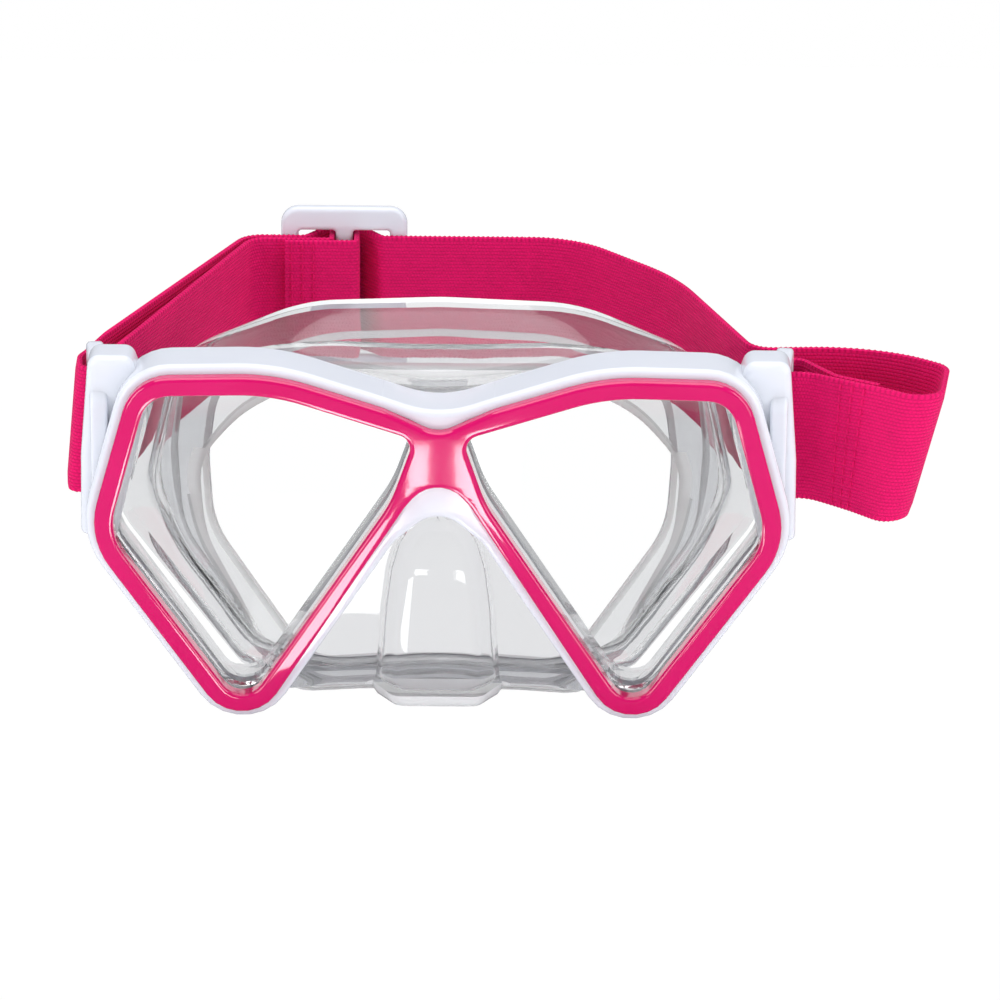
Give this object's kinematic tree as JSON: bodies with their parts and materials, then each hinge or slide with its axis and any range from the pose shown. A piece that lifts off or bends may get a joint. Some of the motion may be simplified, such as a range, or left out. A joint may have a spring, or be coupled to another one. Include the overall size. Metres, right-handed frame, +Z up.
{
  "type": "snorkel mask",
  "caption": "Two-window snorkel mask with a clear soft skirt and nose pocket, a clip-on front bezel and a woven elastic head strap with a sliding adjuster.",
  "frame": {"origin": "on the table that the mask stands on, in the mask's middle plane, level from front to back with the front edge of the frame's two lower corners", "axes": "+Z up from the table, -Y the way the lenses face, +Y towards the head strap, +X to the right as seen from the front, which is the wearer's left; the lenses lean forward by 15 degrees"},
  "size_m": [0.1879, 0.1147, 0.1094],
  "materials": {
    "white_plastic": "smooth injection moulding, satin gloss",
    "pink_plastic": "high gloss moulding",
    "lens_glass": "clear tempered glass",
    "clear_pvc": "clear soft PVC, glossy",
    "woven_strap": "ribbed woven elastic",
    "thread": "sewing thread"
  },
  "bodies": {
    "mask": {"frame": "white_plastic", "front_bezel": "pink_plastic", "lens_left": "lens_glass", "lens_right": "lens_glass", "skirt": "clear_pvc", "strap_right_run": "woven_strap", "strap_right_wrap": "woven_strap", "strap_left_loop": "woven_strap", "strap_back": "woven_strap", "strap_left_outer": "woven_strap", "strap_left_inner": "woven_strap", "lug_stitching": "thread"},
    "slider": {"slider": "white_plastic", "strap_through_slider": "woven_strap", "strap_sewn_end": "woven_strap", "slider_stitching": "thread"}
  },
  "joints": [
    {"name": "slider_travel", "type": "slide", "parent": "mask", "child": "slider", "axis": [1, 0, 0], "range_m": [-0.018, 0.024], "deforming": ["strap_back", "strap_left_outer", "strap_left_inner"]}
  ]
}
